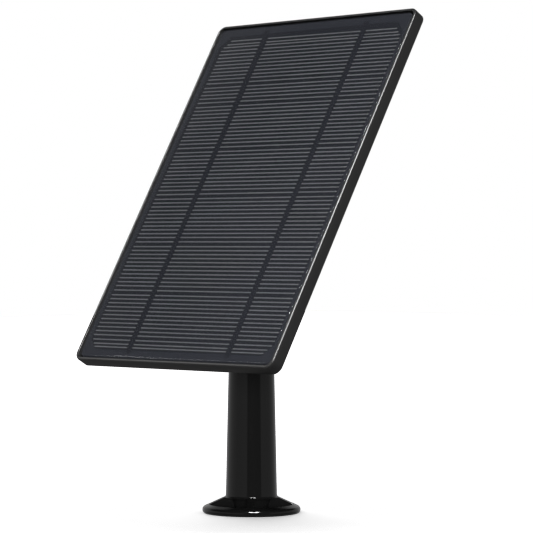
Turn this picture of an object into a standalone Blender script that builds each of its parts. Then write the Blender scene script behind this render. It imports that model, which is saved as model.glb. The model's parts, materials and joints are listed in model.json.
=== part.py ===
"""Solar charging panel on an adjustable screw-down post.

A framed solar laminate with a small controller box behind it, on a threaded stud.
The stud's knuckle tilts in a forked head, and the head pans on top of a tapered post
whose flange is screwed to a wall, roof or deck. Metres, +Z up. The origin is the
middle of the flange's underside, the panel faces -Y and +X is the panel's right-hand side.
"""

import math

import bmesh
import bpy
from mathutils import Matrix, Vector

OBJECT_NAME = "solar_charging_panel"

# Panel outline and its place on the mount
PANEL_WIDTH = 0.1312
PANEL_HEIGHT = 0.1850
PANEL_DEPTH = 0.0065
PANEL_CORNER = 0.0042
PANEL_LEAN = math.radians(30.1)
PIVOT_HEIGHT = 0.0949
PIVOT_TO_FRONT = 0.032
STUD_BELOW_CENTRE = 0.045

# Panel layers, as depths behind the front plane
RIM_WALL = 0.0014
FIT_GAP = 0.0008
GLASS_FRONT = 0.0005
GLASS_THICK = 0.0005
RIBBON_FRONT = 0.00105
RIBBON_THICK = 0.0001
RIBBON_WIDTH = 0.0030
RIBBON_LEFT = -0.0309
RIBBON_RIGHT = 0.0349
RIBBON_LENGTH = 0.1760
CELL_FRONT = 0.0012
CELL_THICK = 0.00025
CELL_WIDTH = 0.1212
CELL_HEIGHT = 0.1726
CELL_CORNER = 0.0055
SHEET_FRONT = 0.0015
SHEET_THICK = 0.0008
SEAL_FRONT = 0.0024
SEAL_THICK = 0.0022
SEAL_WIDTH = 0.0040
TRAY_FLOOR = 0.0018
WINDOW_WIDTH = 0.020
WINDOW_HEIGHT = 0.007

# Controller box behind the panel, centred on the stud
BOX_SIZE = 0.062
BOX_CORNER = 0.008
BOX_WALL = 0.0020
BOX_REAR_WALL = 0.0022
BOX_BACK = 0.0155
BOX_SEAL_THICK = 0.0008
BOX_SEAL_WIDTH = 0.0016
BOX_SCREW_OFFSET = 0.0236
BOX_SCREW_RADIUS = 0.00125
BOX_SCREW_HEAD = 0.0023
BOX_POST_RADIUS = 0.0031
TRAY_BOSS_BACK = 0.0100

# Controller board inside the box
BOARD_WIDTH = 0.040
BOARD_HEIGHT = 0.016
BOARD_THICK = 0.0012
BOARD_FRONT = 0.0092
BOARD_ABOVE_STUD = 0.0185
BOARD_SCREW_OFFSET = 0.0165
BOARD_POST_RADIUS = 0.0020

# Cable gland in the lower wall of the box
GLAND_DEPTH = 0.0104
GLAND_BORE = 0.0016
GLAND_BODY_RADIUS = 0.0023
GLAND_FLANGE_RADIUS = 0.0034
GLAND_NUT_FLATS = 0.0057
GLAND_CAP_BORE = 0.0016
GLAND_SEAL_BORE = 0.0014

# Post and flange
FLANGE_RADIUS = 0.0224
FLANGE_FOOT_RADIUS = 0.0217
FLANGE_EDGE_ROUND = 0.0017
FLANGE_EDGE_CENTRE = 0.00135
SKIRT_TOP_RADIUS = 0.0120
SKIRT_TOP_HEIGHT = 0.0072
POST_FOOT_RADIUS = 0.0116
POST_FOOT_HEIGHT = 0.0083
POST_TOP_RADIUS = 0.01007
POST_TOP = 0.0790
POST_BORE = 0.0078
POST_SEAT_BORE = 0.0086
POST_SEAT_FLOOR = 0.0627
POST_FLOOR = 0.0100
CORE_TOP_RADIUS = 0.0090
CORE_FOOT_RADIUS = 0.0080
POCKET_FLOOR = 0.0025
POCKET_CEILING = 0.0068
POCKET_OUTER = 0.0193
RIB_WIDTH = 0.0035
SCREW_CIRCLE_RADIUS = 0.0150
SCREW_HOLE_RADIUS = 0.00225

# Pan joint
INSERT_RADIUS = 0.0084
PAN_BOLT_RADIUS = 0.0025
PAN_BOLT_HEAD = 0.0042
PAN_BOLT_END = 0.0620
NUT_ACROSS_FLATS = 0.0080
NUT_BORE = 0.0026
NUT_THICK = 0.0040
PAN_NUT_FLOOR = 0.0643
HEAD_FOOT = 0.0799
HEAD_RADIUS = 0.0120
HEAD_SPIGOT_RADIUS = 0.0050
HEAD_SPIGOT_END = 0.0762
SLOT_FLOOR = 0.0854

# Tilt joint
EAR_INNER = 0.0054
EAR_OUTER = 0.0093
EAR_RADIUS = 0.0076
KNUCKLE_HALF_WIDTH = 0.0046
KNUCKLE_RADIUS = 0.0076
KNUCKLE_NECK = 0.0046
SHOULDER_RADIUS = 0.0064
SHOULDER_NEAR = 0.0088
SHOULDER_FAR = 0.0108
PIVOT_BOLT_RADIUS = 0.0025
PIVOT_BORE = 0.0027
KNOB_RADIUS = 0.0090
KNOB_INNER = 0.0105
KNOB_OUTER = 0.0195
KNOB_FLUTES = 12
KNOB_FLUTE_DEPTH = 0.0005

# Stud and lock ring
STUD_RADIUS = 0.003175
STUD_START = 0.0046
STUD_END = 0.0240
LOCK_RING_RADIUS = 0.0085
LOCK_RING_NEAR = 0.0111
LOCK_RING_FAR = 0.0157
LOCK_RING_FLUTES = 20
LOCK_RING_FLUTE_DEPTH = 0.0003
MOUNT_INSERT_RADIUS = 0.0050
MOUNT_INSERT_NEAR = 0.0162
MOUNT_BOSS_RADIUS = 0.0068

MERGE_DISTANCE = 0.00001
ALONG_X = (0.0, math.pi / 2, 0.0)
ALONG_DEPTH = (-math.pi / 2, 0.0, 0.0)
UPRIGHT = (0.0, 0.0, 0.0)


# ---------------------------------------------------------------- helpers


def clear_scene():
    """Remove whatever the scene holds."""
    for item in list(bpy.data.objects):
        bpy.data.objects.remove(item, do_unlink=True)


def new_collection(name):
    """Make a collection in the scene."""
    collection = bpy.data.collections.new(name)
    bpy.context.scene.collection.children.link(collection)
    return collection


def principled(name, colour, roughness, metallic=0.0):
    """Make a plain surface material."""
    material = bpy.data.materials.new(name)
    material.use_nodes = True
    shader = material.node_tree.nodes["Principled BSDF"]
    shader.inputs["Base Color"].default_value = (*colour, 1.0)
    shader.inputs["Roughness"].default_value = roughness
    shader.inputs["Metallic"].default_value = metallic
    material.diffuse_color = (*colour, 1.0)
    return material


def empty(name, location, rotation=UPRIGHT, parent=None):
    """Make an empty that marks a joint's axis."""
    marker = bpy.data.objects.new(name, None)
    marker.location = location
    marker.rotation_euler = rotation
    marker.parent = parent
    bpy.context.scene.collection.objects.link(marker)
    return marker


def place(name, mesh, material, parent, location=(0, 0, 0), rotation=UPRIGHT):
    """Put a mesh in the object's collection as a named piece."""
    piece = bpy.data.objects.new(name, mesh)
    piece.location = location
    piece.rotation_euler = rotation
    piece.parent = parent
    mesh.materials.clear()
    mesh.materials.append(material)
    PARTS.objects.link(piece)
    return piece


def helper(name, mesh, parent, location=(0, 0, 0), rotation=UPRIGHT):
    """Put a mesh in the cutters' collection."""
    tool = bpy.data.objects.new(name, mesh)
    tool.location = location
    tool.rotation_euler = rotation
    tool.parent = parent
    tool.hide_render = True
    tool.display_type = "WIRE"
    CUTTERS.objects.link(tool)
    return tool


def join(piece, tool, operation="DIFFERENCE"):
    """Cut a helper out of a piece, or unite it with the piece."""
    modifier = piece.modifiers.new(f"{operation.lower()}_{tool.name}", "BOOLEAN")
    modifier.operation = operation
    modifier.object = tool
    modifier.solver = "EXACT"


def finish_mesh(shape, name):
    """Turn a bmesh into a smooth-shaded mesh with sharp corners kept."""
    mesh = bpy.data.meshes.new(name)
    bmesh.ops.recalc_face_normals(shape, faces=shape.faces)
    shape.to_mesh(mesh)
    shape.free()
    mesh.shade_smooth()
    mesh.set_sharp_from_angle(angle=math.radians(35))
    return mesh


def rod(name, radius, length, sides=32, far_radius=None):
    """A cylinder or cone standing on its origin, along +Z."""
    shape = bmesh.new()
    bmesh.ops.create_cone(
        shape,
        cap_ends=True,
        segments=sides,
        radius1=radius,
        radius2=radius if far_radius is None else far_radius,
        depth=length,
        matrix=Matrix.Translation((0, 0, length / 2)),
    )
    return finish_mesh(shape, name)


def hexagon(name, across_flats, length):
    """A hexagonal bar standing on its origin, along +Z."""
    return rod(name, across_flats / 2 / math.cos(math.pi / 6), length, 6)


def fluted_rod(name, radius, length, flutes, depth, bevel):
    """A knurled grip standing on its origin, along +Z."""
    shape = bmesh.new()
    bmesh.ops.create_cone(
        shape,
        cap_ends=True,
        segments=flutes * 4,
        radius1=radius - depth,
        radius2=radius - depth,
        depth=length,
        matrix=Matrix.Translation((0, 0, length / 2)),
    )
    for vertex in shape.verts:
        turn = math.atan2(vertex.co.y, vertex.co.x)
        grow = 1 + depth * math.cos(flutes * turn) / (radius - depth)
        vertex.co.x *= grow
        vertex.co.y *= grow
    rims = [
        edge
        for edge in shape.edges
        if abs(edge.verts[0].co.z - edge.verts[1].co.z) < MERGE_DISTANCE
    ]
    bmesh.ops.bevel(
        shape, geom=rims, offset=bevel, segments=1, affect="EDGES", profile=0.5, material=-1
    )
    return finish_mesh(shape, name)


def block(name, width, depth, height, corner=0.0, segments=1):
    """A block centred on its origin, with its corners in the XZ outline rounded."""
    shape = bmesh.new()
    bmesh.ops.create_cube(shape, size=1.0, matrix=Matrix.Diagonal((width, depth, height, 1.0)))
    if corner > 0:
        posts = [
            edge
            for edge in shape.edges
            if abs(edge.verts[0].co.y - edge.verts[1].co.y) > depth / 2
        ]
        bmesh.ops.bevel(
            shape,
            geom=posts,
            offset=corner,
            segments=segments,
            affect="EDGES",
            profile=0.5,
            material=-1,
        )
    return finish_mesh(shape, name)


def profile_mesh(name, points, closed):
    """The outline of a turned shape, as a chain of edges in the XZ plane."""
    mesh = bpy.data.meshes.new(name)
    count = len(points)
    edges = [(i, i + 1) for i in range(count - 1)]
    if closed:
        edges.append((count - 1, 0))
    mesh.from_pydata([(r, 0.0, z) for r, z in points], edges, [])
    return mesh


def turn(piece, sides):
    """Spin a piece's outline once round its own Z axis."""
    screw = piece.modifiers.new("turned", "SCREW")
    screw.axis = "Z"
    screw.angle = math.tau
    screw.steps = sides
    screw.render_steps = sides
    screw.use_merge_vertices = True
    screw.merge_threshold = MERGE_DISTANCE
    screw.use_smooth_shade = True


def ring(name, inner, outer, length, sides, material, parent, location, rotation):
    """A plain ring or washer, turned, standing on its origin."""
    points = [(inner, length), (outer, length), (outer, 0.0), (inner, 0.0)]
    piece = place(name, profile_mesh(name, points, True), material, parent, location, rotation)
    turn(piece, sides)
    return piece


def arc(centre_r, centre_z, radius, start, end, count):
    """Points along a round stretch of an outline, angles in degrees from +X."""
    points = []
    for step in range(count + 1):
        angle = math.radians(start + (end - start) * step / count)
        points.append((centre_r + radius * math.cos(angle), centre_z + radius * math.sin(angle)))
    return points


def depth_at(distance_behind_front):
    """Local Y of a layer, measured from the tilt pivot."""
    return distance_behind_front - PIVOT_TO_FRONT


def frame_ring(name, width, height, wall, corner, front, thick, material):
    """A rectangular ring in the panel's plane, as a plate with its middle cut out."""
    plate = block(name, width, thick, height, corner, 4)
    centre = (0, depth_at(front + thick / 2), STUD_BELOW_CENTRE)
    piece = place(name, plate, material, TILT_AXIS, centre)
    inner_corner = max(corner - wall, 0.0005)
    hole = block(f"{name}_hole", width - 2 * wall, thick * 3, height - 2 * wall, inner_corner, 4)
    join(piece, helper(f"{name}_hole", hole, TILT_AXIS, centre))
    return piece


# ---------------------------------------------------------------- fixed mount


def mount_post(material):
    """Tapered post and screw-down flange in one moulding, open at the top."""
    rim_centre = FLANGE_RADIUS - FLANGE_EDGE_ROUND
    outline = [
        (0.0, POST_FLOOR),
        (POST_BORE, POST_FLOOR),
        (POST_BORE, POST_SEAT_FLOOR),
        (POST_SEAT_BORE, POST_SEAT_FLOOR),
        (POST_SEAT_BORE, POST_TOP),
        (POST_TOP_RADIUS, POST_TOP),
        (POST_FOOT_RADIUS, POST_FOOT_HEIGHT),
        (POST_FOOT_RADIUS + 0.0001, POST_FOOT_HEIGHT - 0.0006),
        (SKIRT_TOP_RADIUS, SKIRT_TOP_HEIGHT),
    ]
    outline += arc(rim_centre, FLANGE_EDGE_CENTRE, FLANGE_EDGE_ROUND, 66, -30, 6)
    outline += [(FLANGE_FOOT_RADIUS, 0.0), (0.0, 0.0)]
    post = place("mount_post", profile_mesh("mount_post", outline, False), material, None)
    turn(post, 64)
    join(post, screw_pockets())
    for index in range(4):
        angle = index * math.pi / 2
        spot = (
            SCREW_CIRCLE_RADIUS * math.cos(angle),
            SCREW_CIRCLE_RADIUS * math.sin(angle),
            -POCKET_FLOOR,
        )
        drill = rod(f"flange_drill_{index + 1}", SCREW_HOLE_RADIUS, 3 * POCKET_FLOOR, 24)
        join(post, helper(f"flange_drill_{index + 1}", drill, None, spot))
    return post


def screw_pockets():
    """The four pockets between the flange's ribs, as one cutter."""
    open_top = SKIRT_TOP_HEIGHT + 0.003
    points = [
        (SKIRT_TOP_RADIUS + 0.0002, open_top),
        (POCKET_OUTER + 0.0004, open_top),
        (POCKET_OUTER, POCKET_FLOOR),
        (CORE_FOOT_RADIUS, POCKET_FLOOR),
        (CORE_TOP_RADIUS, POCKET_CEILING),
        (SKIRT_TOP_RADIUS + 0.0002, POCKET_CEILING),
    ]
    pockets = helper("screw_pockets", profile_mesh("screw_pockets", points, True), None)
    turn(pockets, 64)
    for index, angle in enumerate((math.pi / 4, -math.pi / 4)):
        bar = block(f"rib_{index + 1}", 4 * FLANGE_RADIUS, RIB_WIDTH, 0.04)
        join(pockets, helper(f"rib_{index + 1}", bar, None, (0, 0, 0), (0, 0, angle)))
    return pockets


def neck_insert(material):
    """Bush in the top of the post that holds the pan nut and guides the head."""
    height = POST_TOP - 0.0002 - POST_SEAT_FLOOR - 0.0003
    recess = HEAD_SPIGOT_END - 0.0007 - POST_SEAT_FLOOR - 0.0003
    bore = PIVOT_BORE
    points = [
        (bore, recess),
        (HEAD_SPIGOT_RADIUS + 0.0003, recess),
        (HEAD_SPIGOT_RADIUS + 0.0003, height),
        (INSERT_RADIUS, height),
        (INSERT_RADIUS, 0.0),
        (bore, 0.0),
    ]
    floor = (0, 0, POST_SEAT_FLOOR + 0.0003)
    piece = place("neck_insert", profile_mesh("neck_insert", points, True), material, None, floor)
    turn(piece, 32)
    pocket_top = PAN_NUT_FLOOR + NUT_THICK + 0.0003
    pocket_foot = POST_SEAT_FLOOR - 0.001
    pocket = hexagon("pan_nut_pocket", NUT_ACROSS_FLATS + 0.0004, pocket_top - pocket_foot)
    join(piece, helper("pan_nut_pocket", pocket, None, (0, 0, pocket_foot)))
    return piece


def hex_nut(name, material, parent, location, rotation=UPRIGHT):
    """A steel or brass hex nut standing on its origin."""
    piece = place(
        name, hexagon(name, NUT_ACROSS_FLATS, NUT_THICK), material, parent, location, rotation
    )
    drill = rod(f"{name}_drill", NUT_BORE, 3 * NUT_THICK, 24)
    back = Vector((0, 0, -NUT_THICK))
    back.rotate(Matrix.Rotation(rotation[1], 3, "Y"))
    spot = Vector(location) + back
    join(piece, helper(f"{name}_drill", drill, parent, spot, rotation))
    return piece


# ---------------------------------------------------------------- pan head


def ear(name, side):
    """One cheek of the fork: a plate with a round top centred on the tilt axis."""
    outline = bpy.data.curves.new(name, "CURVE")
    outline.dimensions = "2D"
    outline.fill_mode = "BOTH"
    outline.extrude = (EAR_OUTER - EAR_INNER) / 2
    foot = SLOT_FLOOR - 0.002 - PIVOT_HEIGHT
    points = [(-foot, EAR_RADIUS), (-foot, -EAR_RADIUS)]
    points += [(-z, -r) for r, z in arc(0.0, 0.0, EAR_RADIUS, 0, 180, 16)]
    spline = outline.splines.new("POLY")
    spline.points.add(len(points) - 1)
    for point, (x, y) in zip(spline.points, points):
        point.co = (x, y, 0.0, 1.0)
    spline.use_cyclic_u = True
    middle = side * (EAR_OUTER + EAR_INNER) / 2
    source = bpy.data.objects.new(f"{name}_outline", outline)
    bpy.context.scene.collection.objects.link(source)
    bpy.context.view_layer.update()
    ready = source.evaluated_get(bpy.context.evaluated_depsgraph_get())
    solid = bpy.data.meshes.new_from_object(ready)
    shape = bmesh.new()
    shape.from_mesh(solid)
    bmesh.ops.remove_doubles(shape, verts=shape.verts, dist=MERGE_DISTANCE)
    bpy.data.objects.remove(source)
    return helper(name, finish_mesh(shape, name), PAN_AXIS, (middle, 0, PIVOT_HEIGHT), ALONG_X)


def pan_head(material):
    """Fork on top of the post: round foot, locating spigot and two cheeks."""
    points = [
        (0.0, SLOT_FLOOR),
        (HEAD_RADIUS - 0.0006, SLOT_FLOOR),
        (HEAD_RADIUS, SLOT_FLOOR - 0.0006),
        (HEAD_RADIUS, SLOT_FLOOR - 0.0022),
        (POST_TOP_RADIUS, HEAD_FOOT),
        (HEAD_SPIGOT_RADIUS, HEAD_FOOT),
        (HEAD_SPIGOT_RADIUS, HEAD_SPIGOT_END),
        (0.0, HEAD_SPIGOT_END),
    ]
    head = place("pan_head", profile_mesh("pan_head", points, False), material, PAN_AXIS)
    turn(head, 48)
    join(head, ear("ear_left", -1), "UNION")
    join(head, ear("ear_right", 1), "UNION")
    shaft = rod("pan_bolt_drill", PIVOT_BORE, 0.03, 24)
    join(head, helper("pan_bolt_drill", shaft, PAN_AXIS, (0, 0, HEAD_SPIGOT_END - 0.01)))
    recess = rod("pan_bolt_recess", PAN_BOLT_HEAD + 0.0004, 0.01, 32)
    join(head, helper("pan_bolt_recess", recess, PAN_AXIS, (0, 0, SLOT_FLOOR - 0.0031)))
    pin = rod("pivot_drill", PIVOT_BORE, 0.04, 24)
    join(head, helper("pivot_drill", pin, PAN_AXIS, (-0.02, 0, PIVOT_HEIGHT), ALONG_X))
    pocket = hexagon("bolt_head_pocket", NUT_ACROSS_FLATS + 0.0004, 0.01)
    start = (-EAR_OUTER - 0.008, 0, PIVOT_HEIGHT)
    join(head, helper("bolt_head_pocket", pocket, PAN_AXIS, start, ALONG_X))
    return head


def pan_bolt(material):
    """Button-head bolt that clamps the head down on the post."""
    seat = SLOT_FLOOR - 0.0029
    top = SLOT_FLOOR - 0.0002
    points = [
        (0.0, top),
        (PAN_BOLT_HEAD - 0.0012, top),
        (PAN_BOLT_HEAD, top - 0.0014),
        (PAN_BOLT_HEAD, seat),
        (PAN_BOLT_RADIUS, seat),
        (PAN_BOLT_RADIUS, PAN_BOLT_END + 0.0005),
        (PAN_BOLT_RADIUS - 0.0005, PAN_BOLT_END),
        (0.0, PAN_BOLT_END),
    ]
    bolt = place("pan_bolt", profile_mesh("pan_bolt", points, False), material, PAN_AXIS)
    turn(bolt, 24)
    socket = hexagon("pan_bolt_socket", 0.0030, 0.004)
    join(bolt, helper("pan_bolt_socket", socket, PAN_AXIS, (0, 0, top - 0.0016)))
    return bolt


def pivot_bolt(material):
    """Hex bolt through both cheeks, its head held in the left one."""
    seat = -EAR_OUTER + 0.0019
    head_thick = 0.0030
    start = (seat - head_thick, 0, PIVOT_HEIGHT)
    bolt = place(
        "pivot_bolt", hexagon("pivot_bolt", NUT_ACROSS_FLATS, head_thick), material, PAN_AXIS,
        start, ALONG_X,
    )
    length = KNOB_OUTER - 0.0025 - seat + head_thick / 2
    shaft = rod("pivot_bolt_shank", PIVOT_BOLT_RADIUS, length, 24)
    middle = (seat - head_thick / 2, 0, PIVOT_HEIGHT)
    join(bolt, helper("pivot_bolt_shank", shaft, PAN_AXIS, middle, ALONG_X), "UNION")
    return bolt


# ---------------------------------------------------------------- tilt knob


def tilt_knob(material):
    """Hand knob that clamps the fork, with a hex pocket for its brass nut."""
    length = KNOB_OUTER - KNOB_INNER
    grip = fluted_rod("tilt_knob", KNOB_RADIUS, length, KNOB_FLUTES, KNOB_FLUTE_DEPTH, 0.0010)
    start = (KNOB_INNER, 0, PIVOT_HEIGHT)
    knob = place("tilt_knob", grip, material, KNOB_AXIS, local_to(KNOB_AXIS, start), ALONG_X)
    pocket = hexagon("knob_nut_pocket", NUT_ACROSS_FLATS + 0.0004, 0.0065)
    spot = (KNOB_INNER - 0.002, 0, PIVOT_HEIGHT)
    join(knob, helper("knob_nut_pocket", pocket, KNOB_AXIS, local_to(KNOB_AXIS, spot), ALONG_X))
    bore = rod("knob_bore", PIVOT_BORE + 0.0001, KNOB_OUTER - 0.0017 - spot[0], 24)
    join(knob, helper("knob_bore", bore, KNOB_AXIS, local_to(KNOB_AXIS, spot), ALONG_X))
    return knob


def local_to(marker, point):
    """A world point as the marker's children see it, for a marker that isn't turned."""
    return Vector(point) - marker.matrix_world.translation


# ---------------------------------------------------------------- tilt knuckle


def tilt_knuckle(material):
    """Barrel between the cheeks, with a neck and shoulder that carry the stud."""
    barrel = rod("tilt_knuckle", KNUCKLE_RADIUS, 2 * KNUCKLE_HALF_WIDTH, 48)
    knuckle = place(
        "tilt_knuckle", barrel, material, TILT_AXIS, (-KNUCKLE_HALF_WIDTH, 0, 0), ALONG_X
    )
    neck = rod("knuckle_neck", KNUCKLE_NECK, SHOULDER_NEAR + 0.0004, 32)
    join(knuckle, helper("knuckle_neck", neck, TILT_AXIS, (0, 0, 0), TOWARDS_PANEL), "UNION")
    shoulder = rod("knuckle_shoulder", SHOULDER_RADIUS, SHOULDER_FAR - SHOULDER_NEAR, 32)
    join(
        knuckle,
        helper("knuckle_shoulder", shoulder, TILT_AXIS, (0, -SHOULDER_NEAR, 0), TOWARDS_PANEL),
        "UNION",
    )
    pin = rod("knuckle_drill", PIVOT_BORE, 0.03, 24)
    join(knuckle, helper("knuckle_drill", pin, TILT_AXIS, (-0.015, 0, 0), ALONG_X))
    socket = rod("stud_socket", STUD_RADIUS + 0.0001, 0.02, 32)
    start = (0, -STUD_START + 0.0002, 0)
    join(knuckle, helper("stud_socket", socket, TILT_AXIS, start, TOWARDS_PANEL))
    return knuckle


def mount_stud(material):
    """Quarter-inch stud pressed into the knuckle."""
    points = [
        (0.0, STUD_END - STUD_START),
        (STUD_RADIUS - 0.0006, STUD_END - STUD_START),
        (STUD_RADIUS, STUD_END - STUD_START - 0.0006),
        (STUD_RADIUS, 0.0),
        (0.0, 0.0),
    ]
    start = (0, -STUD_START, 0)
    stud = place(
        "mount_stud", profile_mesh("mount_stud", points, False), material, TILT_AXIS, start,
        TOWARDS_PANEL,
    )
    turn(stud, 32)
    return stud


def lock_ring(material):
    """Thumb ring on the stud that locks the panel's turn."""
    length = LOCK_RING_FAR - LOCK_RING_NEAR
    grip = fluted_rod(
        "lock_ring", LOCK_RING_RADIUS, length, LOCK_RING_FLUTES, LOCK_RING_FLUTE_DEPTH, 0.0006
    )
    start = (0, -LOCK_RING_NEAR, 0)
    piece = place("lock_ring", grip, material, TILT_AXIS, start, TOWARDS_PANEL)
    bore = rod("lock_ring_bore", STUD_RADIUS + 0.0002, 0.02, 32)
    join(piece, helper("lock_ring_bore", bore, TILT_AXIS, (0, -0.005, 0), TOWARDS_PANEL))
    return piece


# ---------------------------------------------------------------- panel


def panel_housing(material):
    """Shallow tray that frames the laminate, with four bosses for the box screws."""
    centre = (0, depth_at(PANEL_DEPTH / 2), STUD_BELOW_CENTRE)
    body = block("panel_housing", PANEL_WIDTH, PANEL_DEPTH, PANEL_HEIGHT, PANEL_CORNER, 5)
    tray = place("panel_housing", body, material, TILT_AXIS, centre)
    recess_depth = PANEL_DEPTH - TRAY_FLOOR + 0.002
    recess = block(
        "tray_recess",
        PANEL_WIDTH - 2 * RIM_WALL,
        recess_depth,
        PANEL_HEIGHT - 2 * RIM_WALL,
        PANEL_CORNER - RIM_WALL,
        4,
    )
    middle = depth_at(PANEL_DEPTH - TRAY_FLOOR - recess_depth / 2)
    join(tray, helper("tray_recess", recess, TILT_AXIS, (0, middle, STUD_BELOW_CENTRE)))
    window = block("lead_window", WINDOW_WIDTH, 0.01, WINDOW_HEIGHT, 0.001, 2)
    spot = (0, depth_at(PANEL_DEPTH), BOARD_ABOVE_STUD)
    join(tray, helper("lead_window", window, TILT_AXIS, spot))
    for index, (across, up) in enumerate(box_corners()):
        start = (across, depth_at(PANEL_DEPTH - 0.0005), up)
        boss = rod(f"tray_boss_{index + 1}", BOX_POST_RADIUS, TRAY_BOSS_BACK - PANEL_DEPTH + 0.0005, 16)
        join(tray, helper(f"tray_boss_{index + 1}", boss, TILT_AXIS, start, AWAY_FROM_PANEL), "UNION")
        pilot = rod(f"tray_pilot_{index + 1}", BOX_SCREW_RADIUS + 0.0001, 0.02, 16)
        spot = (across, depth_at(PANEL_DEPTH + 0.0003), up)
        join(tray, helper(f"tray_pilot_{index + 1}", pilot, TILT_AXIS, spot, AWAY_FROM_PANEL))
    return tray


def box_corners():
    """The four screw positions of the controller box, measured from the stud."""
    return [
        (across * BOX_SCREW_OFFSET, up * BOX_SCREW_OFFSET) for across in (-1, 1) for up in (-1, 1)
    ]


def laminate(materials):
    """Cover glass, contact ribbons, cell and back sheet, held on a foam seal."""
    width = PANEL_WIDTH - 2 * RIM_WALL - 2 * FIT_GAP
    height = PANEL_HEIGHT - 2 * RIM_WALL - 2 * FIT_GAP
    corner = PANEL_CORNER - RIM_WALL
    glass = block("solar_glass", width, GLASS_THICK, height, corner, 4)
    centre = (0, depth_at(GLASS_FRONT + GLASS_THICK / 2), STUD_BELOW_CENTRE)
    place("solar_glass", glass, materials["glass"], TILT_AXIS, centre)
    ribbons = (("contact_ribbon_left", RIBBON_LEFT), ("contact_ribbon_right", RIBBON_RIGHT))
    for name, across in ribbons:
        strip = block(name, RIBBON_WIDTH, RIBBON_THICK, RIBBON_LENGTH)
        spot = (across, depth_at(RIBBON_FRONT + RIBBON_THICK / 2), STUD_BELOW_CENTRE)
        place(name, strip, materials["ribbon"], TILT_AXIS, spot)
    cell = block("solar_cell", CELL_WIDTH, CELL_THICK, CELL_HEIGHT, CELL_CORNER, 1)
    centre = (0, depth_at(CELL_FRONT + CELL_THICK / 2), STUD_BELOW_CENTRE)
    place("solar_cell", cell, materials["cell"], TILT_AXIS, centre)
    sheet = block("back_sheet", width, SHEET_THICK, height, corner, 4)
    centre = (0, depth_at(SHEET_FRONT + SHEET_THICK / 2), STUD_BELOW_CENTRE)
    place("back_sheet", sheet, materials["sheet"], TILT_AXIS, centre)
    frame_ring(
        "laminate_seal", width, height, SEAL_WIDTH, corner, SEAL_FRONT, SEAL_THICK, materials["foam"]
    )


# ---------------------------------------------------------------- controller box


def rear_box(material):
    """Moulded box on the panel's back, open towards the panel."""
    front = PANEL_DEPTH + BOX_SEAL_THICK + 0.0002
    thick = BOX_BACK - front
    body = block("rear_box", BOX_SIZE, thick, BOX_SIZE, BOX_CORNER, 5)
    piece = place("rear_box", body, material, TILT_AXIS, (0, depth_at(front + thick / 2), 0))
    inside = block("box_inside", BOX_SIZE - 2 * BOX_WALL, 0.02, BOX_SIZE - 2 * BOX_WALL,
                   BOX_CORNER - BOX_WALL, 5)
    spot = (0, depth_at(BOX_BACK - BOX_REAR_WALL) - 0.01, 0)
    join(piece, helper("box_inside", inside, TILT_AXIS, spot))
    boss_front = PANEL_DEPTH + 0.0006
    boss = rod("mount_boss", MOUNT_BOSS_RADIUS, BOX_BACK - 0.001 - boss_front, 32)
    start = (0, depth_at(boss_front), 0)
    join(piece, helper("mount_boss", boss, TILT_AXIS, start, AWAY_FROM_PANEL), "UNION")
    bore = rod("mount_insert_bore", MOUNT_INSERT_RADIUS + 0.0001, 0.02, 32)
    start = (0, depth_at(boss_front + 0.0008), 0)
    join(piece, helper("mount_insert_bore", bore, TILT_AXIS, start, AWAY_FROM_PANEL))
    for index, (across, up) in enumerate(box_corners()):
        start = (across, depth_at(TRAY_BOSS_BACK + 0.0003), up)
        post = rod(f"box_post_{index + 1}", BOX_POST_RADIUS, 0.0048, 16)
        join(piece, helper(f"box_post_{index + 1}", post, TILT_AXIS, start, AWAY_FROM_PANEL), "UNION")
        hole = rod(f"box_hole_{index + 1}", BOX_SCREW_RADIUS + 0.0002, 0.02, 16)
        join(piece, helper(f"box_hole_{index + 1}", hole, TILT_AXIS, start_back(start), AWAY_FROM_PANEL))
        recess = rod(f"box_recess_{index + 1}", BOX_SCREW_HEAD + 0.0003, 0.01, 20)
        spot = (across, depth_at(BOX_BACK - 0.0018), up)
        join(piece, helper(f"box_recess_{index + 1}", recess, TILT_AXIS, spot, AWAY_FROM_PANEL))
    for index, across in enumerate((-BOARD_SCREW_OFFSET, BOARD_SCREW_OFFSET)):
        start = (across, depth_at(BOARD_FRONT + BOARD_THICK + 0.0002), BOARD_ABOVE_STUD)
        post = rod(f"board_post_{index + 1}", BOARD_POST_RADIUS, 0.0035, 16)
        join(piece, helper(f"board_post_{index + 1}", post, TILT_AXIS, start, AWAY_FROM_PANEL), "UNION")
        pilot = rod(f"board_pilot_{index + 1}", 0.0009, 0.0022, 12)
        join(piece, helper(f"board_pilot_{index + 1}", pilot, TILT_AXIS, start_back(start, 0.0002),
                           AWAY_FROM_PANEL))
    hole = rod("gland_hole", GLAND_BODY_RADIUS + 0.0002, 0.01, 24)
    spot = (0, depth_at(GLAND_DEPTH), -BOX_SIZE / 2 - 0.003)
    join(piece, helper("gland_hole", hole, TILT_AXIS, spot))
    return piece


def start_back(point, distance=0.003):
    """The same spot, a little nearer to the panel's front."""
    return (point[0], point[1] - distance, point[2])


def box_fasteners(steel):
    """Four screws that hold the box on the tray."""
    shank = BOX_BACK - 0.0017 - PANEL_DEPTH - 0.0007
    points = [
        (0.0, shank + 0.0014),
        (BOX_SCREW_HEAD - 0.0007, shank + 0.0014),
        (BOX_SCREW_HEAD, shank + 0.0008),
        (BOX_SCREW_HEAD, shank),
        (BOX_SCREW_RADIUS, shank),
        (BOX_SCREW_RADIUS, 0.0),
        (0.0, 0.0),
    ]
    for index, (across, up) in enumerate(box_corners()):
        name = f"box_screw_{index + 1}"
        start = (across, depth_at(PANEL_DEPTH + 0.0007), up)
        screw = place(
            name, profile_mesh(name, points, False), steel, TILT_AXIS, start, AWAY_FROM_PANEL
        )
        turn(screw, 16)


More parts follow.
